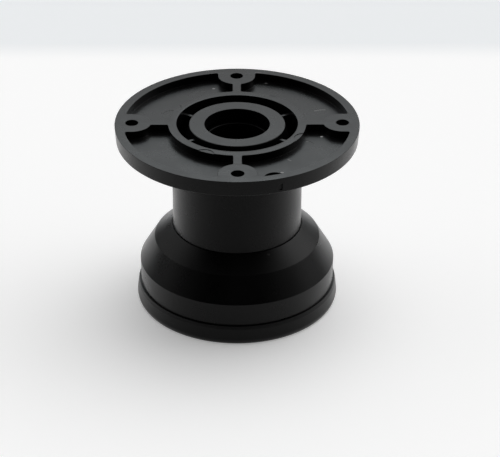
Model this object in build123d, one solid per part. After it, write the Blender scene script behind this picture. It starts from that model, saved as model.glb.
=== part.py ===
from build123d import *
from math import hypot, radians, tan
import os

# Height-adjustable furniture foot in black moulded plastic, in millimetres.
# It stands on the floor at Z = 0, centred on the Z axis, with its flange on top, screwed all the way in.

# Flange plate
flange_diameter = 80.0
flange_thickness = 5.4
rim_undercut = 0.85           # how far the rim's lower edge lies inside its upper edge
rim_width = 3.0
pocket_depth = 2.5
pocket_corner_radius = 0.6
corner_tolerance = 0.01       # for telling the outline's corners apart
rest_height = 64.5            # floor to the flange's top, screwed all the way in

# Screw holes with U-shaped bosses, and the ribs that tie them to the stem
hole_count = 4
hole_diameter = 4.5
hole_edge_distance = 5.6      # from the flange's edge to the middle of a hole
boss_radius = 6.3
rib_width = 2.8

# Gate well in one pocket, with the vestige on the rim beside it
gate_angle = -70.0
gate_well_diameter = 6.0
gate_well_depth = 1.6
gate_well_margin = 0.1        # between the well and the rim's inner wall
gate_notch_width = 0.9
gate_notch_height = 3.1
gate_notch_depth = 0.5

# Stem: an outer sleeve round the hub tube
sleeve_ring_radius = 22.6     # outside, at the flange's top
sleeve_mouth_radius = 19.8    # inside, at the flange's top
stem_radius = 21.46           # outside, just under the flange
stem_draft = 0.1              # degrees
stem_wall = 1.75              # at the stem's lower end
core_draft = 0.9              # degrees, on the walls of the gap between sleeve and hub

# Hub tube that holds the female thread
hub_radius = 17.0
hub_drop = 0.4                # the hub's top below the flange's top
hub_nose_radius = 15.75       # outside, at the top
hub_nose_height = 5.0
lip_bore_radius = 10.66
lip_thickness = 3.7
thread_bore_radius = 14.2     # root of the female thread
gap_depth = 28.0              # from the flange's top to the floor between sleeve and hub
gap_floor_thickness = 2.5

# Thin webs across the gap
web_thickness = 1.0
web_drop = 1.9                # below the flange's top
web_angles = (30.0, 150.0, 210.0, 330.0)

# Base that stands on the floor
base_floor_radius = 32.9
base_radius = 33.65           # where the rounded side meets the slope up to the rim's top
base_widest_height = 2.35
base_edge_bulge = 0.35
base_lip_radius = 32.85
base_height = 7.95
base_rim_wall = 1.5           # at the rim's top
base_plate_thickness = 2.6

# Hollow threaded post
post_radius = 12.2            # core of the male thread
post_bore_radius = 9.8
post_top_chamfer = 0.2
post_lip_clearance = 1.2      # under the hub's lip, screwed all the way in

# Ribs round the foot of the post
base_rib_count = 4
base_rib_width = 2.0
base_rib_height = 6.8         # above the base's plate
stem_stop_clearance = 1.1     # stem's lower end above the ribs, screwed all the way in

# Bell cover
seam_gap = 0.4                # between the base's rim and the bell's band
band_height = 6.1
band_bottom_radius = 32.3
band_top_radius = 32.5
flare_height = 8.2
cone_height = 4.95
cone_edge_radius = 27.6
collar_clearance = 0.3        # round the stem
collar_land = 2.8
bell_wall = 2.65              # behind the slanted faces
slant_wall_share = 0.64       # of the wall: its shift inwards, and downwards, behind a slanted face

# Snap joint between bell and base
spigot_clearance = 0.1        # all round and under the spigot
spigot_wall = 1.8
bead_height = 0.3
bead_width = 1.6
bead_level = 5.6              # above the floor
bead_clearance = 0.2

# Levels above the floor
flange_top = rest_height
flange_underside = flange_top - flange_thickness
pocket_floor = flange_top - pocket_depth
hub_top = flange_top - hub_drop
lip_underside = hub_top - lip_thickness
gap_floor_top = flange_top - gap_depth
gap_floor_underside = gap_floor_top - gap_floor_thickness
stem_bottom = base_plate_thickness + base_rib_height + stem_stop_clearance
band_bottom = base_height + seam_gap
band_top = band_bottom + band_height
cone_edge_level = band_top + flare_height
collar_top = cone_edge_level + cone_height

# Radii that follow from others
flange_radius = flange_diameter / 2
hole_circle_radius = flange_radius - hole_edge_distance
rim_inner_radius = flange_radius - rim_width
base_rim_bore = base_lip_radius - base_rim_wall
spigot_radius = base_rim_bore - spigot_clearance
bell_bore = spigot_radius - spigot_wall


def taper(degrees, length):
    return length * tan(radians(degrees))


def stem_radius_at(level):
    return stem_radius - taper(stem_draft, flange_underside - level)


def around_axis(points_and_arcs):
    """Solid of revolution about Z from (radius, level) corners; a pair of corners is an arc's middle and end."""
    edges = []
    here = points_and_arcs[0]
    for step in points_and_arcs[1:] + points_and_arcs[:1]:
        if isinstance(step[0], tuple):
            middle, end = step
            edges.append(ThreePointArc(here, middle, end))
        else:
            end = step
            edges.append(Line(here, end))
        here = end
    return revolve(make_face([Plane.XZ * edge for edge in edges]), Axis.Z)


def bulged(start, end, bulge):
    """Arc from start to end, as its middle point and its end, with the bulge outwards."""
    dr = end[0] - start[0]
    dz = end[1] - start[1]
    length = hypot(dr, dz)
    middle = ((start[0] + end[0]) / 2 - dz / length * bulge, (start[1] + end[1]) / 2 + dr / length * bulge)
    return (middle, end)


def pocket_outline():
    """The four pockets seen from above: rim to sleeve, less bosses and ribs."""
    ring = Circle(rim_inner_radius) - Circle(sleeve_ring_radius)
    boss = Pos(hole_circle_radius, 0) * Circle(boss_radius)
    boss += Pos(flange_radius, 0) * Rectangle(2 * (flange_radius - hole_circle_radius), 2 * boss_radius)
    rib = Pos(hole_circle_radius / 2, 0) * Rectangle(hole_circle_radius, rib_width)
    for index in range(hole_count):
        ring -= Rot(0, 0, index * 360 / hole_count) * (boss + rib)
    # The round end of a boss runs smoothly into its sides, so there is no corner to round there
    smooth = hypot(hole_circle_radius, boss_radius)
    corners = [corner for corner in ring.vertices() if abs(Vector(corner).length - smooth) > corner_tolerance]
    return fillet(corners, pocket_corner_radius)


def mounting_flange():
    hub_foot = hub_radius + taper(core_draft, hub_top - hub_nose_height - gap_floor_top)
    lower_wall = stem_radius_at(stem_bottom) - stem_wall
    lower_length = gap_floor_underside - stem_bottom
    body = around_axis([
        (lip_bore_radius, hub_top),
        (hub_nose_radius, hub_top),
        (hub_radius, hub_top - hub_nose_height),
        (hub_foot, gap_floor_top),
        (sleeve_mouth_radius - taper(core_draft, gap_depth), gap_floor_top),
        (sleeve_mouth_radius, flange_top),
        (flange_radius, flange_top),
        (flange_radius - rim_undercut, flange_underside),
        (stem_radius, flange_underside),
        (stem_radius_at(stem_bottom), stem_bottom),
        (lower_wall, stem_bottom),
        (lower_wall - taper(core_draft, lower_length), gap_floor_underside),
        (hub_foot, gap_floor_underside),
        (hub_foot - taper(core_draft, lower_length), stem_bottom),
        (thread_bore_radius, stem_bottom),
        (thread_bore_radius, lip_underside),
        (lip_bore_radius, lip_underside),
    ])
    body -= Pos(0, 0, pocket_floor) * extrude(pocket_outline(), pocket_depth)
    holes = PolarLocations(hole_circle_radius, hole_count)
    body -= [place * Cylinder(hole_diameter / 2, 3 * flange_top) for place in holes]

    # Webs end inside the walls on both sides of the gap
    web_top = flange_top - web_drop
    web_height = web_top - gap_floor_underside
    web = Box(flange_radius, web_thickness, web_height, align=(Align.MIN, Align.CENTER, Align.MAX))
    web_inner = (thread_bore_radius + hub_nose_radius) / 2
    web_outer = (sleeve_mouth_radius + stem_radius_at(gap_floor_underside)) / 2
    slot = Pos(0, 0, web_top) * extrude(Circle(web_outer) - Circle(web_inner), -web_height)
    for angle in web_angles:
        body += (Pos(0, 0, web_top) * Rot(0, 0, angle) * web) & slot

    # Gate well in the pocket's floor and the notch that the gate leaves in the rim
    well = Cylinder(gate_well_diameter / 2, gate_well_depth, align=(Align.CENTER, Align.CENTER, Align.MAX))
    well_radius = rim_inner_radius - gate_well_diameter / 2 - gate_well_margin
    body -= Rot(0, 0, gate_angle) * Pos(well_radius, 0, pocket_floor) * well
    notch = Box(2 * (gate_notch_depth + rim_undercut), gate_notch_width, 2 * gate_notch_height)
    body -= Rot(0, 0, gate_angle) * Pos(flange_radius, 0, flange_underside) * notch
    return body


def bell_cover():
    slant = bell_wall * slant_wall_share
    cone_edge = (cone_edge_radius, cone_edge_level)
    inner_edge = (cone_edge_radius - slant, cone_edge_level - slant)
    collar_bore = stem_radius_at(collar_top) + collar_clearance
    spigot_bottom = base_plate_thickness + spigot_clearance
    return around_axis([
        (collar_bore, collar_top),
        cone_edge,
        (band_top_radius, band_top),
        (band_bottom_radius, band_bottom),
        (spigot_radius, band_bottom),
        (spigot_radius, bead_level + bead_width / 2),
        (spigot_radius + bead_height, bead_level),
        (spigot_radius, bead_level - bead_width / 2),
        (spigot_radius, spigot_bottom),
        (bell_bore, spigot_bottom),
        (bell_bore, band_top - slant / 2),
        inner_edge,
        (collar_bore, collar_top - collar_land),
    ])


def base_foot():
    floor_edge = (base_floor_radius, 0.0)
    groove_half = bead_width / 2 + bead_clearance
    post_top = lip_underside - post_lip_clearance
    body = around_axis([
        (0.0, 0.0),
        floor_edge,
        bulged(floor_edge, (base_radius, base_widest_height), -base_edge_bulge),
        (base_lip_radius, base_height),
        (base_rim_bore, base_height),
        (base_rim_bore, bead_level + groove_half),
        (base_rim_bore + bead_height + bead_clearance - spigot_clearance, bead_level),
        (base_rim_bore, bead_level - groove_half),
        (base_rim_bore, base_plate_thickness),
        (post_radius, base_plate_thickness),
        (post_radius, post_top),
        (post_bore_radius + post_top_chamfer, post_top),
        (post_bore_radius, post_top - post_top_chamfer),
        (post_bore_radius, base_plate_thickness),
        (0.0, base_plate_thickness),
    ])
    rib_reach = bell_bore - spigot_clearance - collar_clearance
    rib_start = (post_radius + post_bore_radius) / 2
    rib = Box(rib_reach - rib_start, base_rib_width, base_rib_height, align=(Align.MIN, Align.CENTER, Align.MIN))
    for index in range(base_rib_count):
        body += Rot(0, 0, index * 360 / base_rib_count) * Pos(rib_start, 0, base_plate_thickness) * rib
    return body


os.makedirs("parts", exist_ok=True)
for node, solid in (
    ("mounting_flange", mounting_flange()),
    ("bell_cover", bell_cover()),
    ("base_foot", base_foot()),
):
    export_step(solid, f"parts/{node}.step")
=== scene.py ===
import bpy
import bmesh
import math
from mathutils import Matrix, Vector
from mathutils.geometry import tessellate_polygon


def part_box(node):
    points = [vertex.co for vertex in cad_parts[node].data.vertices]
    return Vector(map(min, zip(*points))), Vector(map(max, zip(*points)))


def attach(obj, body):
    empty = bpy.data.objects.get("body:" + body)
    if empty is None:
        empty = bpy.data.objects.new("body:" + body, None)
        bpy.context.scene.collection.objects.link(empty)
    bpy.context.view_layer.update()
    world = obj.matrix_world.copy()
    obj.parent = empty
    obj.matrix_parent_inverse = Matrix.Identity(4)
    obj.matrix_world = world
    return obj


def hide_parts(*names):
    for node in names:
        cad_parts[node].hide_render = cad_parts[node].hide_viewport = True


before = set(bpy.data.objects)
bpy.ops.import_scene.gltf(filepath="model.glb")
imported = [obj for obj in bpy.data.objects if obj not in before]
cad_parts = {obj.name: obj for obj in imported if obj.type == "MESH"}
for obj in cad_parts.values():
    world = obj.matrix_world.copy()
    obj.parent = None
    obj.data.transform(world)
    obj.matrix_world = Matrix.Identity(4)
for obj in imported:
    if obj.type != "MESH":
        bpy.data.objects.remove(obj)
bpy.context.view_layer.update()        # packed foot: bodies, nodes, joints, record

mm = 0.001               # sizes below are in millimetres, meshes are in metres
scene = bpy.context.scene
scene.view_settings.view_transform = "Standard"

flangeLow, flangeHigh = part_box("mounting_flange")
bellLow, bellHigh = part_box("bell_cover")
baseLow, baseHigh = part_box("base_foot")
flangeTop = round(flangeHigh.z / mm, 3)        # level of the mounting face
flangeRadius = round(flangeHigh.x / mm, 3)
stemBottom = round(flangeLow.z / mm, 3)
collarTop = round(bellHigh.z / mm, 3)
spigotBottom = round(bellLow.z / mm, 3)
postTop = round(baseHigh.z / mm, 3)


# Small helpers for node trees

def newTree(name, inputs):
    tree = bpy.data.node_groups.new(name, "GeometryNodeTree")
    tree.interface.new_socket("Geometry", in_out="INPUT", socket_type="NodeSocketGeometry")
    for label, kind in inputs:
        tree.interface.new_socket(label, in_out="INPUT", socket_type="NodeSocket" + kind)
    tree.interface.new_socket("Geometry", in_out="OUTPUT", socket_type="NodeSocketGeometry")
    return tree, tree.nodes.new("NodeGroupInput").outputs


def addNode(tree, kind, sockets=None, **settings):
    node = tree.nodes.new(kind)
    for name, value in settings.items():
        setattr(node, name, value)
    for key, value in (sockets or {}).items():     # a value is a number, or another node's output
        if isinstance(value, bpy.types.NodeSocket):
            tree.links.new(value, node.inputs[key])
        else:
            node.inputs[key].default_value = value
    return node


def endTree(tree, geometry, material):
    realized = addNode(tree, "GeometryNodeRealizeInstances", {"Geometry": geometry})
    painted = addNode(tree, "GeometryNodeSetMaterial", {
        "Geometry": realized.outputs[0], "Material": material})
    groupOut = tree.nodes.new("NodeGroupOutput")
    tree.links.new(painted.outputs[0], groupOut.inputs[0])


def runTree(carrier, tree, values):
    modifier = carrier.modifiers.new(tree.name, "NODES")
    modifier.node_group = tree
    for item in tree.interface.items_tree:
        if item.in_out == "INPUT" and item.name in values:
            modifier[item.identifier] = values[item.name]
    depsgraph = bpy.context.evaluated_depsgraph_get()
    mesh = bpy.data.meshes.new_from_object(carrier.evaluated_get(depsgraph))
    bpy.data.objects.remove(carrier)               # the carrier goes, and its modifier with it
    return mesh


def newObject(name, data):
    obj = bpy.data.objects.new(name, data)
    scene.collection.objects.link(obj)
    return obj


def bakeModifiers(obj):
    depsgraph = bpy.context.evaluated_depsgraph_get()
    mesh = bpy.data.meshes.new_from_object(obj.evaluated_get(depsgraph))
    obj.modifiers.clear()
    obj.data = mesh
    return obj


def closeFaces(mesh, mergeDistance=1e-7):          # in metres
    work = bmesh.new()
    work.from_mesh(mesh)
    bmesh.ops.remove_doubles(work, verts=work.verts, dist=mergeDistance)
    bmesh.ops.recalc_face_normals(work, faces=work.faces)
    work.to_mesh(mesh)
    work.free()
    return mesh


def settleNormals(obj, sharpAngle=35):
    obj.data.set_sharp_from_angle(angle=math.radians(sharpAngle))
    weigh = obj.modifiers.new("weighNormals", "WEIGHTED_NORMAL")
    weigh.keep_sharp = True                        # large faces rule, so flats stay flat beside small rounds
    return bakeModifiers(obj)


def dress(obj, body, node=None):
    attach(obj, body)
    if node:
        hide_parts(node)
    print(obj.name, "rides on", body, "with", len(obj.data.polygons), "faces")
    return obj


# Satin black plastic

plasticSpec = {
    "ink": (0.0007, 0.0007, 0.00075, 1.0),         # darker patches of the moulding
    "bloom": (0.0016, 0.0016, 0.0017, 1.0),        # paler patches, where the skin is duller
    "patchSize": 9.0, "patchDetail": 4.0,
    "patchRange": (0.3, 0.7),                      # part of the noise that spans the gloss
    "grainSize": 0.16, "grainDetail": 2.0, "grainHeight": 0.004,
    "waveSize": 6.0, "waveDetail": 1.0, "waveHeight": 0.010,
}


def noiseNode(tree, place, size, detail):
    noise = addNode(tree, "ShaderNodeTexNoise",
                    {"Vector": place, "Scale": 1 / (size * mm), "Detail": detail})
    return noise.outputs["Fac"]


def colourMix(tree, factor, first, second):
    mix = addNode(tree, "ShaderNodeMix", {"Factor": factor, 6: first, 7: second}, data_type="RGBA")
    return mix.outputs[2]                          # inputs 6 and 7 and output 2 are the colour ones


def plasticMaterial(name, piece, marksAndGlints=()):
    spec, gloss, shine = plasticSpec, piece["gloss"], piece["faceShine"]
    material = bpy.data.materials.new(name)
    material.use_nodes = True
    tree = material.node_tree
    skin = tree.nodes["Principled BSDF"]
    skin.inputs["IOR"].default_value = piece["ior"]
    skin.inputs["Specular Tint"].default_value = (shine, shine, shine, 1.0)   # dull face on, bright at edges
    place = addNode(tree, "ShaderNodeTexCoord").outputs["Object"]
    patches = noiseNode(tree, place, spec["patchSize"], spec["patchDetail"])
    grain = noiseNode(tree, place, spec["grainSize"], spec["grainDetail"])
    wave = noiseNode(tree, place, spec["waveSize"], spec["waveDetail"])
    low, high = spec["patchRange"]
    rough = addNode(tree, "ShaderNodeMapRange",
                    {"Value": patches, "From Min": low, "From Max": high,
                     "To Min": gloss[0], "To Max": gloss[1]})
    tint, dull = colourMix(tree, patches, spec["ink"], spec["bloom"]), rough.outputs["Result"]
    for stroke in marksAndGlints:
        tint, dull = addStroke(tree, place, stroke, tint, dull)
    waved = addNode(tree, "ShaderNodeBump",
                    {"Height": wave, "Strength": 1.0, "Distance": spec["waveHeight"] * mm})
    grained = addNode(tree, "ShaderNodeBump",
                      {"Height": grain, "Strength": 1.0, "Distance": spec["grainHeight"] * mm,
                       "Normal": waved.outputs["Normal"]})
    tree.links.new(tint, skin.inputs["Base Color"])
    tree.links.new(dull, skin.inputs["Roughness"])
    tree.links.new(grained.outputs["Normal"], skin.inputs["Normal"])
    return material


strokeSpec = {
    "roughness": 0.6,
    "softness": 0.5,                               # share of the half width that fades out
}


# A stroke of flat grey along a segment, with a soft edge and duller gloss: scuffs and specks, and a painted
# highlight on the flange's rim
def addStroke(tree, place, stroke, tint, dull):
    first, last, halfWidth, grey = stroke
    start = Vector(first) * mm
    along = Vector(last) * mm - start
    fromStart = addNode(tree, "ShaderNodeVectorMath", {0: place, 1: start}, operation="SUBTRACT")
    reach = addNode(tree, "ShaderNodeVectorMath", {0: fromStart.outputs[0], 1: along},
                    operation="DOT_PRODUCT")
    share = addNode(tree, "ShaderNodeMath", {0: reach.outputs["Value"], 1: along.length_squared},
                    operation="DIVIDE", use_clamp=True)
    nearest = addNode(tree, "ShaderNodeVectorMath", {0: along, "Scale": share.outputs[0]}, operation="SCALE")
    gap = addNode(tree, "ShaderNodeVectorMath", {0: fromStart.outputs[0], 1: nearest.outputs[0]},
                  operation="DISTANCE")
    mask = addNode(tree, "ShaderNodeMapRange",
                   {"Value": gap.outputs["Value"], "From Min": halfWidth * mm * (1 - strokeSpec["softness"]),
                    "From Max": halfWidth * mm, "To Min": 1.0, "To Max": 0.0})
    strokedTint = colourMix(tree, mask.outputs["Result"], tint, (grey, grey, grey, 1.0))
    duller = addNode(tree, "ShaderNodeMix", {
        "Factor": mask.outputs["Result"], "A": dull, "B": strokeSpec["roughness"]}, data_type="FLOAT")
    return strokedTint, duller.outputs["Result"]


# Turned mouldings: a profile of corners goes once round the Z axis

def arcCorners(start, end, bulge, steps):
    chord = Vector(end[:2]) - Vector(start[:2])
    middle = (Vector(start[:2]) + Vector(end[:2])) / 2
    side = Vector((-chord.y, chord.x)) / chord.length
    radius = (chord.length ** 2 / 4 + bulge ** 2) / (2 * bulge)
    half = math.asin(chord.length / (2 * abs(radius)))
    corners = []
    for step in range(1, steps):
        angle = half * (2 * step / steps - 1)
        spot = middle + chord / chord.length * abs(radius) * math.sin(angle)
        spot += side * (radius * math.cos(angle) - (radius - bulge))
        corners.append((spot.x, spot.y, 0.0))
    return corners


def profileCurve(name, corners, closed):
    curve = bpy.data.curves.new(name, "CURVE")
    curve.dimensions = "3D"
    spline = curve.splines.new("POLY")
    spline.points.add(len(corners) - 1)
    spline.use_cyclic_u = closed
    for point, (radius, level, rounding) in zip(spline.points, corners):
        point.co = (radius * mm, -level * mm, 0.0, 1.0)     # the sweep turns the profile's Y downwards
        point.radius = rounding * mm                        # read by the tree as the corner's rounding
    return newObject(name, curve)


def turnedTree():
    tree, given = newTree("turnedMoulding", [
        ("Segments", "Int"), ("Edge Steps", "Int"), ("Sweep Radius", "Float"), ("Material", "Material")])
    rounding = addNode(tree, "GeometryNodeInputRadius")
    rounded = addNode(tree, "GeometryNodeFilletCurve", {
        "Curve": given["Geometry"], "Count": given["Edge Steps"], "Radius": rounding.outputs[0],
        "Limit Radius": True}, mode="POLY")
    inwards = addNode(tree, "ShaderNodeMath", {0: given["Sweep Radius"], 1: -1.0}, operation="MULTIPLY")
    offset = addNode(tree, "ShaderNodeCombineXYZ", {"X": inwards.outputs[0]})
    shifted = addNode(tree, "GeometryNodeTransform", {
        "Geometry": rounded.outputs[0], "Translation": offset.outputs[0]})
    path = addNode(tree, "GeometryNodeCurvePrimitiveCircle", {
        "Resolution": given["Segments"], "Radius": given["Sweep Radius"]})
    upright = addNode(tree, "GeometryNodeSetCurveNormal", {"Curve": path.outputs[0]}, mode="Z_UP")
    turned = addNode(tree, "GeometryNodeCurveToMesh", {
        "Curve": upright.outputs[0], "Profile Curve": shifted.outputs[0]})
    smooth = addNode(tree, "GeometryNodeSetShadeSmooth", {"Geometry": turned.outputs[0]})
    endTree(tree, smooth.outputs[0], given["Material"])
    return tree


turnSpec = {"segments": 288, "edgeSteps": 5, "sweepRadius": 50.0}
turned = turnedTree()


def turnedMesh(name, corners, closed, material):
    carrier = profileCurve(name + "Profile", corners, closed)
    return runTree(carrier, turned, {
        "Segments": turnSpec["segments"], "Edge Steps": turnSpec["edgeSteps"],
        "Sweep Radius": turnSpec["sweepRadius"] * mm, "Material": material})


# Bell cover: collar, cone, flare, band and the spigot that snaps into the base

bellSpec = {
    "collarBore": 21.58, "collarLand": 2.8, "collarRound": 0.12,
    "coneRadius": 27.6, "coneLevel": 22.65, "coneRound": 0.2,
    "bandTopRadius": 32.5, "bandTop": 14.45, "bandTopRound": 0.25,
    "bandBottomRadius": 32.42, "bandBottom": 6.66, "bandBottomRound": 0.04,
    "bandRoot": 0.1, "spigotRadius": 31.25, "spigotRound": 0.2,
    "bore": 29.45, "slant": 1.696, "innerRound": 1.0, "collarLowRound": 0.2,
    "beadHeight": 0.3, "beadWidth": 1.6, "beadLevel": 5.2, "beadRound": 0.3,
    "ior": 1.5, "faceShine": 0.27, "gloss": (0.26, 0.34),
}


def bellCorners():
    b = bellSpec
    beadTop, beadBottom = b["beadLevel"] + b["beadWidth"] / 2, b["beadLevel"] - b["beadWidth"] / 2
    return [
        (b["collarBore"], collarTop, b["collarRound"]), (b["coneRadius"], b["coneLevel"], b["coneRound"]),
        (b["bandTopRadius"], b["bandTop"], b["bandTopRound"]),
        (b["bandBottomRadius"], b["bandBottom"], b["bandBottomRound"]),
        (b["spigotRadius"], b["bandBottom"], b["bandRoot"]),
        (b["spigotRadius"], beadTop, b["spigotRound"]),
        (b["spigotRadius"] + b["beadHeight"], b["beadLevel"], b["beadRound"]),
        (b["spigotRadius"], beadBottom, b["spigotRound"]),
        (b["spigotRadius"], spigotBottom, b["spigotRound"]), (b["bore"], spigotBottom, b["spigotRound"]),
        (b["bore"], b["bandTop"] - b["slant"] / 2, b["innerRound"]),
        (b["coneRadius"] - b["slant"], b["coneLevel"] - b["slant"], b["innerRound"]),
        (b["collarBore"], collarTop - b["collarLand"], b["collarLowRound"]),
    ]


bellMarks = [((10.1, -20.5, 26.56), (10.3, -20.4, 26.56), 0.45, 0.02)]     # a speck near the collar
bellPlastic = plasticMaterial("bellSatinBlack", bellSpec, bellMarks)
bellCover = newObject("bellCover", closeFaces(turnedMesh("bell", bellCorners(), True, bellPlastic)))
dress(settleNormals(bellCover), "cover_body", "bell_cover")


# Base: the low ring that stands on the floor, with its hollow post

baseSpec = {
    "floorRadius": 32.9, "floorRound": 0.3,
    "sideRadius": 33.65, "sideLevel": 2.35, "sideRound": 0.6, "sideBulge": -0.3, "sideSteps": 14,
    "shoulderRadius": 33.32, "shoulderLevel": 5.5, "shoulderRound": 1.2,
    "lipRadius": 32.98, "height": 6.63, "lipRound": 0.12, "rimBore": 31.35, "rimRound": 0.2,
    "grooveHalf": 1.0, "grooveDepth": 0.4, "grooveLevel": 5.2, "grooveRound": 0.1, "grooveFloorRound": 0.2,
    "plate": 2.6, "plateRound": 0.3,
    "postRadius": 12.2, "postBore": 9.8, "postEdge": 0.2, "postRound": 0.3, "postRoot": 0.5,
    "ribCount": 4, "ribWidth": 2.0, "ribHeight": 6.8, "ribStart": 11.0, "ribEnd": 29.05,
    "ior": 1.5, "faceShine": 0.28, "gloss": (0.28, 0.38),
}


def baseCorners():
    b = baseSpec
    floorEdge = (b["floorRadius"], baseLow.z / mm, b["floorRound"])
    side = (b["sideRadius"], b["sideLevel"], b["sideRound"])
    return [
        (0.0, baseLow.z / mm, 0.0), floorEdge,
        *arcCorners(floorEdge, side, b["sideBulge"], b["sideSteps"]), side,
        (b["shoulderRadius"], b["shoulderLevel"], b["shoulderRound"]),
        (b["lipRadius"], b["height"], b["lipRound"]), (b["rimBore"], b["height"], b["rimRound"]),
        (b["rimBore"], b["grooveLevel"] + b["grooveHalf"], b["grooveRound"]),
        (b["rimBore"] + b["grooveDepth"], b["grooveLevel"], b["grooveFloorRound"]),
        (b["rimBore"], b["grooveLevel"] - b["grooveHalf"], b["grooveRound"]),
        (b["rimBore"], b["plate"], b["plateRound"]), (b["postRadius"], b["plate"], b["postRoot"]),
        (b["postRadius"], postTop, b["postRound"]), (b["postBore"], postTop, b["postEdge"]),
        (b["postBore"], b["plate"], b["postRoot"]), (0.0, b["plate"], 0.0),
    ]


def radialTree():
    tree, given = newTree("radialRibs", [("Rib Size", "Vector"), ("Material", "Material")])
    where = addNode(tree, "GeometryNodeInputPosition")
    outwards = addNode(tree, "ShaderNodeVectorMath", {0: where.outputs[0], 1: (1, 1, 0)},
                       operation="MULTIPLY")       # the height is left out, so ribs stay level
    facing = addNode(tree, "FunctionNodeAlignRotationToVector", {"Vector": outwards.outputs[0]}, axis="X")
    rib = addNode(tree, "GeometryNodeMeshCube", {"Size": given["Rib Size"]})
    placed = addNode(tree, "GeometryNodeInstanceOnPoints", {
        "Points": given["Geometry"], "Instance": rib.outputs[0], "Rotation": facing.outputs[0]})
    endTree(tree, placed.outputs[0], given["Material"])
    return tree


radial = radialTree()


def radialRibs(name, angles, reach, levels, width, material):
    seats = bpy.data.meshes.new(name + "Seats")
    middle, height = sum(reach) / 2, sum(levels) / 2
    spots = [Vector((middle * math.cos(math.radians(a)), middle * math.sin(math.radians(a)), height)) * mm
             for a in angles]
    seats.from_pydata(spots, [], [])
    size = Vector((reach[1] - reach[0], width, levels[1] - levels[0])) * mm
    return runTree(newObject(name, seats), radial, {"Rib Size": size, "Material": material})


basePlastic = plasticMaterial("baseSatinBlack", baseSpec)
baseFoot = newObject("baseFoot", closeFaces(turnedMesh("base", baseCorners(), False, basePlastic)))
dress(settleNormals(baseFoot), "base_body", "base_foot")
ribAngles = [360 / baseSpec["ribCount"] * index for index in range(baseSpec["ribCount"])]
baseRibs = newObject("baseRibs", radialRibs(
    "baseRibs", ribAngles, (baseSpec["ribStart"], baseSpec["ribEnd"]),
    (baseSpec["plate"] / 2, baseSpec["plate"] + baseSpec["ribHeight"]), baseSpec["ribWidth"], basePlastic))
dress(baseRibs, "base_body")


# Flange: rim, pockets, bosses and ribs on one plate, with the stem and hub turned below it

flangeSpec = {
    "thickness": 5.385, "rimUndercut": 0.396, "rimTopRound": 0.1, "rimLowRound": 0.5, "rimInner": 37.0,
    "quarters": (0, 90, 180, 270),                 # a pocket and a screw hole at each
    "pocketDepth": 2.66, "pocketCorner": 0.6, "edgeRound": 0.14, "floorRound": 0.06, "wallDraft": 0.05,
    "wideArc": 10.0, "wideStep": 1.5, "tightStep": 8.0, "leastSteps": 6,     # steps in degrees, by radius
    "roundSteps": 4, "capMargin": 0.8,
    "holeCircle": 34.4, "holeRadius": 2.12, "holeRound": 0.08, "holeSteps": 40,
    "bossRadius": 6.3, "ribHalf": 1.4, "ringRadius": 22.6, "mouthRadius": 19.8, "mouthRound": 0.12,
    "stemRadius": 21.46, "stemRoot": 0.4, "stemFoot": 21.375, "stemFootInner": 19.625, "stemFootRound": 0.3,
    "cavityTopRadius": 19.256, "cavityRound": 0.4,
    "hubFootRadius": 17.355, "hubLowRadius": 16.986, "hubFootRound": 0.3,
    "gapDepth": 28.0, "gapFloor": 2.5, "gapFootRadius": 19.36, "gapRound": 0.5,
    "hubDrop": 0.4, "hubRadius": 17.0,
    "noseRadius": 15.75, "noseHeight": 5.0, "noseRound": 0.4, "noseFootRound": 0.6,
    "lipBore": 10.66, "lipThickness": 3.7, "lipRound": 0.12, "lipRootRound": 0.3,
    "threadBore": 14.2, "threadMouthRound": 0.4,
    "gateAngle": -70.0, "gateCircle": 34.4, "gateRadius": 3.46, "gateDepth": 1.6, "gateFlare": 0.05,
    "notch": (3.0, 1.0, 2.3), "notchDrop": 3.25, "notchDepth": 0.45,
    "ior": 1.5, "faceShine": 0.165, "gloss": (0.24, 0.34),
}
underside = flangeTop - flangeSpec["thickness"]
hubTop = flangeTop - flangeSpec["hubDrop"]
pocketFloor = flangeTop - flangeSpec["pocketDepth"]


def stemCorners():
    f = flangeSpec
    gapTop, gapUnder = flangeTop - f["gapDepth"], flangeTop - f["gapDepth"] - f["gapFloor"]
    lipUnder = hubTop - f["lipThickness"]
    return [
        (f["stemRadius"] + f["capMargin"], underside, 0.0), (f["stemRadius"], underside, f["stemRoot"]),
        (f["stemFoot"], stemBottom, f["stemFootRound"]), (f["stemFootInner"], stemBottom, f["stemFootRound"]),
        (f["cavityTopRadius"], gapUnder, f["cavityRound"]), (f["hubFootRadius"], gapUnder, f["cavityRound"]),
        (f["hubLowRadius"], stemBottom, f["hubFootRound"]),
        (f["threadBore"], stemBottom, f["threadMouthRound"]),
        (f["threadBore"], lipUnder, f["lipRootRound"]), (f["lipBore"], lipUnder, f["lipRound"]),
        (f["lipBore"], hubTop, f["lipRound"]), (f["noseRadius"], hubTop, f["noseRound"]),
        (f["hubRadius"], hubTop - f["noseHeight"], f["noseFootRound"]),
        (f["hubFootRadius"], gapTop, f["gapRound"]), (f["gapFootRadius"], gapTop, f["gapRound"]),
        (f["mouthRadius"], flangeTop, f["mouthRound"]), (f["mouthRadius"] + f["capMargin"], flangeTop, 0.0),
    ]


def rimCorners():
    f = flangeSpec
    return [
        (flangeRadius - f["capMargin"], flangeTop, 0.0), (flangeRadius, flangeTop, f["rimTopRound"]),
        (flangeRadius - f["rimUndercut"], underside, f["rimLowRound"]),
        (flangeRadius - f["rimUndercut"] - f["capMargin"] - f["rimLowRound"], underside, 0.0),
    ]


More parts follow.
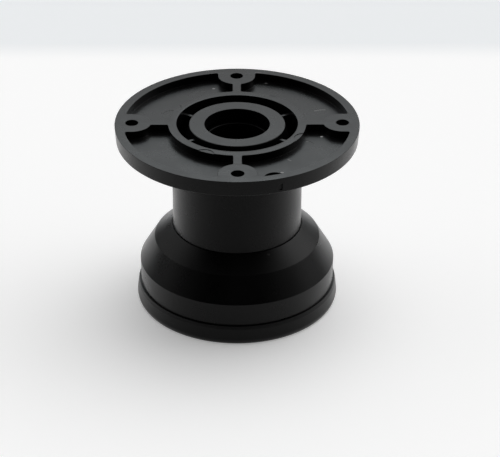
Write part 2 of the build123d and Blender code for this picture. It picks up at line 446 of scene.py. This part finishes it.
def pocketArcs():
    f = flangeSpec
    c, half = f["pocketCorner"], f["ribHalf"] + f["pocketCorner"]
    ringSpot = math.sqrt((f["ringRadius"] + c) ** 2 - half ** 2)     # corner centres, by their tangents
    bossSpot = f["holeCircle"] - math.sqrt((f["bossRadius"] + c) ** 2 - half ** 2)
    rimHeight = f["bossRadius"] + c
    rimSpot = math.sqrt((f["rimInner"] - c) ** 2 - rimHeight ** 2)
    ringTurn = math.degrees(math.atan2(half, ringSpot))
    bossTurn = math.degrees(math.atan2(half, f["holeCircle"] - bossSpot))
    rimTurn = math.degrees(math.atan2(rimHeight, rimSpot))
    boss = f["holeCircle"]
    return [                                       # centre, radius, from, to; a shrinking angle is a bulge
        ((ringSpot, half), c, 180 + ringTurn, 270), ((bossSpot, half), c, 270, 360 - bossTurn),
        ((boss, 0), f["bossRadius"], 180 - bossTurn, 90), ((rimSpot, rimHeight), c, 270, 360 + rimTurn),
        ((0, 0), f["rimInner"], rimTurn, 90 - rimTurn), ((rimHeight, rimSpot), c, 90 - rimTurn, 180),
        ((0, boss), f["bossRadius"], 0, bossTurn - 90), ((half, bossSpot), c, 90 + bossTurn, 180),
        ((half, ringSpot), c, 180, 270 - ringTurn), ((0, 0), f["ringRadius"], 90 - ringTurn, ringTurn),
    ]


def pocketLoop(growth, level, turn):
    f = flangeSpec
    points = []
    for (x, y), radius, start, end in pocketArcs():
        grown = radius + growth if end > start else radius - growth
        stride = f["wideStep"] if radius > f["wideArc"] else f["tightStep"]
        steps = max(f["leastSteps"], round(abs(end - start) / stride))
        for step in range(steps + 1):
            angle = math.radians(start + (end - start) * step / steps)
            points.append(Vector((x + grown * math.cos(angle), y + grown * math.sin(angle), level)))
    return [Matrix.Rotation(math.radians(turn), 3, "Z") @ point * mm for point in points]


def circleLoop(centre, radius, level, steps):
    angles = [2 * math.pi * step / steps for step in range(steps)]
    return [Vector((centre[0] + radius * math.cos(a), centre[1] + radius * math.sin(a), level)) * mm
            for a in angles]


def bridgeLoops(work, loops):
    rows = [[work.verts.new(point) for point in loop] for loop in loops]
    for upper, lower in zip(rows, rows[1:]):
        for index in range(len(upper)):
            after = (index + 1) % len(upper)
            face = work.faces.new((upper[index], upper[after], lower[after], lower[index]))
            face.smooth = True
    return rows


def quarterRound(size):
    steps = flangeSpec["roundSteps"]
    return [(size * (1 - math.sin(a)), size * (1 - math.cos(a)))
            for a in (math.pi / 2 * step / steps for step in range(steps + 1))]


def addPocket(work, turn):
    f = flangeSpec
    wall = [(out, flangeTop - down) for out, down in quarterRound(f["edgeRound"])]
    foot = [(-f["wallDraft"] - down, pocketFloor + out) for out, down in quarterRound(f["floorRound"])]
    bridgeLoops(work, [pocketLoop(growth, level, turn) for growth, level in wall + foot])


def addScrewHole(work, turn):
    f = flangeSpec
    angle = math.radians(turn)
    centre = (f["holeCircle"] * math.cos(angle), f["holeCircle"] * math.sin(angle))
    upper = [(f["holeRadius"] + out, flangeTop - down) for out, down in quarterRound(f["holeRound"])]
    lower = [(radius, underside + flangeTop - level) for radius, level in reversed(upper)]
    bridgeLoops(work, [circleLoop(centre, radius, level, f["holeSteps"]) for radius, level in upper + lower])


def gatePlace(radius):
    angle = math.radians(flangeSpec["gateAngle"])
    return (radius * math.cos(angle), radius * math.sin(angle))


def boundaryLoops(work, level, tolerance=1e-6):    # tolerance in metres
    edges = [edge for edge in work.edges if edge.is_boundary
             and all(abs(vertex.co.z - level * mm) < tolerance for vertex in edge.verts)]
    beside = {}
    for edge in edges:
        edge.smooth = False
        for vertex in edge.verts:
            beside.setdefault(vertex, []).append(edge.other_vert(vertex))
    loops, seen = [], set()
    for edge in edges:
        here = edge.verts[0]
        loop = []
        while here not in seen:
            seen.add(here)
            loop.append(here)
            here = next((vertex for vertex in beside[here] if vertex not in seen), here)
        if loop:
            loops.append(loop)
    return loops


def inside(loop, point):
    crossings = 0
    for a, b in zip(loop, loop[1:] + loop[:1]):
        if (a.co.y > point.y) != (b.co.y > point.y):
            crossings += point.x < a.co.x + (point.y - a.co.y) / (b.co.y - a.co.y) * (b.co.x - a.co.x)
    return crossings % 2 == 1


def fillLevel(work, level):
    loops = boundaryLoops(work, level)
    depth = [sum(inside(other, loop[0].co) for other in loops if other is not loop) for loop in loops]
    for outer, outerDepth in zip(loops, depth):
        if outerDepth % 2:
            continue
        holes = [loop for loop, holeDepth in zip(loops, depth)
                 if holeDepth == outerDepth + 1 and inside(outer, loop[0].co)]
        group = [outer] + holes
        corners = [vertex for loop in group for vertex in loop]
        for triangle in tessellate_polygon([[vertex.co for vertex in loop] for loop in group]):
            work.faces.new([corners[index] for index in triangle]).smooth = False


pinMarkSpec = {                                    # four ejector pins, part on the sleeve, part in a pocket
    "angles": (-116.4, -26.4, 63.6, 153.6), "circle": 24.05, "radius": 3.25,
    "sleeveDepth": 0.14, "floorDepth": 0.03, "flare": 0.06, "lift": 0.3, "overlap": 0.004, "steps": 64,
}


def roundCutter(work, centre, radius, level, depth, lift, flare):
    rings = [(radius, level - depth)]
    rings += [(radius + flare - out, level - down)
              for down, out in reversed(quarterRound(flare)) if down < depth]
    rings.append((radius + flare, level + lift))
    rows = bridgeLoops(work, [circleLoop(centre, r, z, pinMarkSpec["steps"]) for r, z in rings])
    work.faces.new(rows[0])
    work.faces.new(rows[-1])


def markCutter():
    work = bmesh.new()
    p, f = pinMarkSpec, flangeSpec
    for angle in p["angles"]:
        turn = math.radians(angle)
        centre = (p["circle"] * math.cos(turn), p["circle"] * math.sin(turn))
        roundCutter(work, centre, p["radius"], flangeTop, p["sleeveDepth"], p["lift"], p["flare"])
        roundCutter(work, centre, p["radius"], pocketFloor, p["floorDepth"], p["overlap"], p["flare"])
    roundCutter(work, gatePlace(f["gateCircle"]), f["gateRadius"], pocketFloor, f["gateDepth"], p["overlap"],
                f["gateFlare"])
    length, width, height = (size * mm for size in f["notch"])
    face = flangeRadius - f["rimUndercut"] * f["notchDrop"] / f["thickness"]
    x, y = gatePlace(face - f["notchDepth"] + f["notch"][0] / 2)
    seat = Matrix.Translation(Vector((x, y, flangeTop - f["notchDrop"])) * mm)
    turn = Matrix.Rotation(math.radians(f["gateAngle"]), 4, "Z")
    bmesh.ops.create_cube(work, size=1.0, matrix=seat @ turn @ Matrix.Diagonal((length, width, height, 1)))
    bmesh.ops.recalc_face_normals(work, faces=work.faces)
    mesh = bpy.data.meshes.new("markCutter")
    work.to_mesh(mesh)
    work.free()
    return newObject("markCutter", mesh)


def flangeMesh(material, mergeDistance=1e-8):      # in metres
    work = bmesh.new()
    work.from_mesh(turnedMesh("stem", stemCorners(), False, material))
    work.from_mesh(turnedMesh("rim", rimCorners(), False, material))
    for turn in flangeSpec["quarters"]:
        addPocket(work, turn)
        addScrewHole(work, turn)
    for level in (flangeTop, underside, pocketFloor):
        fillLevel(work, level)
    bmesh.ops.remove_doubles(work, verts=work.verts, dist=mergeDistance)
    bmesh.ops.recalc_face_normals(work, faces=work.faces)
    print("flange open edges:", sum(edge.is_boundary for edge in work.edges))
    mesh = bpy.data.meshes.new("mountingFlange")
    work.to_mesh(mesh)
    work.free()
    mesh.materials.append(material)
    return mesh


def cutMarks(obj):
    cutter = markCutter()
    cut = obj.modifiers.new("cutMarks", "BOOLEAN")
    cut.operation, cut.solver, cut.object = "DIFFERENCE", "EXACT", cutter
    bakeModifiers(obj)
    bpy.data.objects.remove(cutter)
    return obj


flangeMarksAndGlint = [                                    # scuffs, specks and a painted highlight: start, end, half width, grey
    ((-7.9, 30.0, pocketFloor), (-7.7, 30.0, pocketFloor), 0.5, 0.3),
    ((26.0, 13.5, pocketFloor), (27.5, 14.0, pocketFloor), 0.42, 0.13),
    ((27.5, 14.0, pocketFloor), (29.3, 14.3, pocketFloor), 0.42, 0.13),
    ((16.2, -20.5, pocketFloor), (16.9, -21.1, pocketFloor), 0.4, 0.13),
    ((27.4, -4.9, pocketFloor), (27.5, -4.9, pocketFloor), 0.48, 0.4),
    ((13.9, -29.0, pocketFloor), (14.2, -29.0, pocketFloor), 0.5, 0.25),
    ((9.9, 33.9, pocketFloor), (10.1, 33.9, pocketFloor), 0.4, 0.15),
    ((22.5, -8.1, pocketFloor), (22.8, -8.1, pocketFloor), 0.4, 0.12),
    # painted highlight: a pale dash on the far rim's top by its inner edge, where that edge catches light
    ((6.4, 36.9, flangeTop), (8.2, 36.7, flangeTop), 0.3, 0.12),
]
flangePlastic = plasticMaterial("flangeSatinBlack", flangeSpec, flangeMarksAndGlint)
mountingFlange = newObject("mountingFlange", flangeMesh(flangePlastic))
dress(settleNormals(cutMarks(mountingFlange)), "flange_body", "mounting_flange")

webSpec = {
    "angles": (30, 150, 210, 330), "reach": (14.975, 20.6), "drop": 1.9, "width": 1.0, "floor": 36.0,
}
gapWebs = newObject("gapWebs", radialRibs(
    "gapWebs", webSpec["angles"], webSpec["reach"], (webSpec["floor"], flangeTop - webSpec["drop"]),
    webSpec["width"], flangePlastic))
dress(gapWebs, "flange_body")


# Screw thread: a ridge winds up the post, and another winds up the hub's bore between its turns

threadSpec = {
    "pitch": 4.0, "turns": 11.0, "turnSteps": 72,
    "runOut": 0.03, "tipScale": 0.05,              # share of its length that thins out, and to what share
    "rootHalf": 1.0, "crestHalf": 0.45, "sink": 0.15, "depth": 1.55,
    "postStart": 13.0, "hubStart": 15.0,
}


def threadTree():
    tree, given = newTree("screwThread", [
        ("Turns", "Float"), ("Turn Steps", "Int"), ("Root Radius", "Float"), ("Rise", "Float"),
        ("Start", "Float"), ("Run Out", "Float"), ("Tip Scale", "Float"), ("Material", "Material")])
    helix = addNode(tree, "GeometryNodeCurveSpiral", {
        "Resolution": given["Turn Steps"], "Rotations": given["Turns"], "Start Radius": given["Root Radius"],
        "End Radius": given["Root Radius"], "Height": given["Rise"], "Reverse": True})
    share = addNode(tree, "GeometryNodeSplineParameter").outputs["Factor"]
    fromEnd = addNode(tree, "ShaderNodeMath", {0: 1.0, 1: share}, operation="SUBTRACT")
    nearest = addNode(tree, "ShaderNodeMath", {0: share, 1: fromEnd.outputs[0]}, operation="MINIMUM")
    swell = addNode(tree, "ShaderNodeMapRange", {
        "Value": nearest.outputs[0], "From Max": given["Run Out"],
        "To Min": given["Tip Scale"], "To Max": 1.0})
    upright = addNode(tree, "GeometryNodeSetCurveNormal", {"Curve": helix.outputs[0]}, mode="Z_UP")
    ridge = addNode(tree, "GeometryNodeCurveToMesh", {
        "Curve": upright.outputs[0], "Profile Curve": given["Geometry"], "Scale": swell.outputs["Result"],
        "Fill Caps": True})
    lift = addNode(tree, "ShaderNodeCombineXYZ", {"Z": given["Start"]})
    raised = addNode(tree, "GeometryNodeTransform", {
        "Geometry": ridge.outputs[0], "Translation": lift.outputs[0]})
    endTree(tree, raised.outputs[0], given["Material"])
    return tree


threading = threadTree()


def threadRidge(name, root, outwards, start, material):
    t = threadSpec
    foot, crest = -t["sink"] * outwards, t["depth"] * outwards
    profile = [(foot, -t["rootHalf"], 0.0), (crest, -t["crestHalf"], 0.0), (crest, t["crestHalf"], 0.0),
               (foot, t["rootHalf"], 0.0)]
    mesh = runTree(profileCurve(name + "Profile", profile, True), threading, {
        "Turns": t["turns"], "Turn Steps": t["turnSteps"], "Root Radius": root * mm,
        "Rise": t["turns"] * t["pitch"] * mm, "Start": start * mm, "Run Out": t["runOut"],
        "Tip Scale": t["tipScale"], "Material": material})
    return settleNormals(newObject(name, closeFaces(mesh)))


postThread = threadRidge("postThread", baseSpec["postRadius"], 1, threadSpec["postStart"], basePlastic)
dress(postThread, "base_body")
hubThread = threadRidge("hubThread", flangeSpec["threadBore"], -1, threadSpec["hubStart"], flangePlastic)
dress(hubThread, "flange_body")


# Camera at the photograph's viewing angle

cameraSpec = {
    "place": (-3.318, -641.786, 398.993), "tilt": 59.736, "turn": -0.224,
    "lens": 159.49, "sensor": 36.0, "shift": 0.03072,
}
cameraData = bpy.data.cameras.new("photoCamera")
cameraData.sensor_fit, cameraData.sensor_width = "HORIZONTAL", cameraSpec["sensor"]
cameraData.lens, cameraData.shift_x = cameraSpec["lens"], cameraSpec["shift"]
camera = newObject("photoCamera", cameraData)
camera.location = Vector(cameraSpec["place"]) * mm
camera.rotation_euler = (math.radians(cameraSpec["tilt"]), 0, math.radians(cameraSpec["turn"]))
scene.camera = camera
print("camera set at", cameraSpec["place"], "with a lens of", cameraSpec["lens"])


# Studio: a pale floor, soft light from above, behind and the sides, and a card that the flange's top mirrors

studioSpec = {
    "floorSize": 20000.0, "floorColour": (0.90, 0.90, 0.90, 1.0), "floorGlow": 0.275,
    "farColour": (0.775, 0.793, 0.806, 1.0), "farFrom": 181.0, "farTo": 195.0,     # the far part is greyer
    "lightColour": (1.0, 1.0, 1.0, 1.0),
    "lamps": [                                     # elevation, azimuth from the back, spread, strength
        (90, 0, 22, 0.224), (72, 0, 22, 2.521), (65, 70, 22, 0.217), (50, 50, 20, 1.342),
        (30, 0, 18, 0.731), (30, 40, 18, 0.953), (30, 320, 18, 0.608), (30, 80, 18, 1.915),
        (30, 280, 18, 1.145), (30, 120, 18, 0.308), (30, 180, 18, 0.075),
        (8, 0, 15, 0.432), (8, 240, 15, 0.306),
    ],
    "cardDistance": 450.0, "cardLow": 30.5, "cardHigh": 45.0, "cardSide": 35.0,    # its edges are in degrees
    "cardStrength": 2.268, "cardColour": (0.9, 1.0, 1.04),
}


def studioFloor():
    s = studioSpec
    half = s["floorSize"] * mm / 2
    corners = [(-half, -half, 0), (half, -half, 0), (half, half, 0), (-half, half, 0)]
    mesh = bpy.data.meshes.new("studioFloor")
    mesh.from_pydata(corners, [], [(0, 1, 2, 3)])
    material = bpy.data.materials.new("palePaper")
    material.use_nodes = True
    tree = material.node_tree
    paper = tree.nodes["Principled BSDF"]
    paper.inputs["Roughness"].default_value = 1.0
    paper.inputs["Specular IOR Level"].default_value = 0.0
    place = addNode(tree, "ShaderNodeTexCoord").outputs["Object"]
    depth = addNode(tree, "ShaderNodeSeparateXYZ", {0: place}).outputs["Y"]
    far = addNode(tree, "ShaderNodeMapRange", {
        "Value": depth, "From Min": s["farFrom"] * mm, "From Max": s["farTo"] * mm})
    colour = colourMix(tree, far.outputs["Result"], s["floorColour"], s["farColour"])
    rays = addNode(tree, "ShaderNodeLightPath").outputs
    direct = addNode(tree, "ShaderNodeMath", {0: rays["Is Camera Ray"], 1: rays["Is Glossy Ray"]},
                     operation="ADD")
    seen = addNode(tree, "ShaderNodeMath", {0: direct.outputs[0], 1: rays["Is Transmission Ray"]},
                   operation="ADD", use_clamp=True)
    glow = addNode(tree, "ShaderNodeMath", {0: seen.outputs[0], 1: s["floorGlow"]}, operation="MULTIPLY")
    tree.links.new(colour, paper.inputs["Base Color"])
    tree.links.new(colour, paper.inputs["Emission Color"])
    tree.links.new(glow.outputs[0], paper.inputs["Emission Strength"])
    mesh.materials.append(material)
    return newObject("studioFloor", mesh)


def aim(elevation, azimuth):
    e, a = math.radians(elevation), math.radians(azimuth)
    return Vector((math.cos(e) * math.sin(a), math.cos(e) * math.cos(a), math.sin(e)))


def studioWorld():
    world = bpy.data.worlds.new("softStudio")
    world.use_nodes = True
    tree = world.node_tree
    sky = tree.nodes["Background"]
    sky.inputs["Color"].default_value = studioSpec["lightColour"]
    way = addNode(tree, "ShaderNodeTexCoord").outputs["Generated"]
    total = 0.0
    for elevation, azimuth, spread, strength in studioSpec["lamps"]:
        towards = addNode(tree, "ShaderNodeVectorMath", {0: way, 1: aim(elevation, azimuth)},
                          operation="DOT_PRODUCT")
        off = addNode(tree, "ShaderNodeMath", {0: towards.outputs["Value"], 1: 1.0}, operation="SUBTRACT")
        sharp = addNode(tree, "ShaderNodeMath", {0: off.outputs[0], 1: 2 / math.radians(spread) ** 2},
                        operation="MULTIPLY")
        soft = addNode(tree, "ShaderNodeMath", {0: sharp.outputs[0]}, operation="EXPONENT")
        lamp = addNode(tree, "ShaderNodeMath", {0: soft.outputs[0], 1: strength}, operation="MULTIPLY")
        total = addNode(tree, "ShaderNodeMath", {0: lamp.outputs[0], 1: total}, operation="ADD").outputs[0]
    tree.links.new(total, sky.inputs["Strength"])
    scene.world = world


def reflectorCard():
    s = studioSpec
    middle, half = (s["cardHigh"] + s["cardLow"]) / 2, math.radians((s["cardHigh"] - s["cardLow"]) / 2)
    card = bpy.data.lights.new("reflectorCard", "AREA")
    card.shape = "RECTANGLE"
    card.size = 2 * s["cardDistance"] * math.tan(math.radians(s["cardSide"])) * mm
    card.size_y = 2 * s["cardDistance"] * math.tan(half) * mm
    card.energy = s["cardStrength"] * math.pi * card.size * card.size_y
    card.color = s["cardColour"]
    lamp = newObject("reflectorCard", card)
    facing = aim(middle, 0)
    lamp.location = (Vector((0, 0, flangeTop)) + facing * s["cardDistance"]) * mm
    lamp.rotation_euler = (-facing).to_track_quat("-Z", "Y").to_euler()
    lamp.visible_diffuse = False                   # it is only mirrored, so the floor stays evenly lit
    lamp.visible_camera = False


studioFloor()
studioWorld()
reflectorCard()
print("studio lit by", len(studioSpec["lamps"]), "soft lamps and a card")
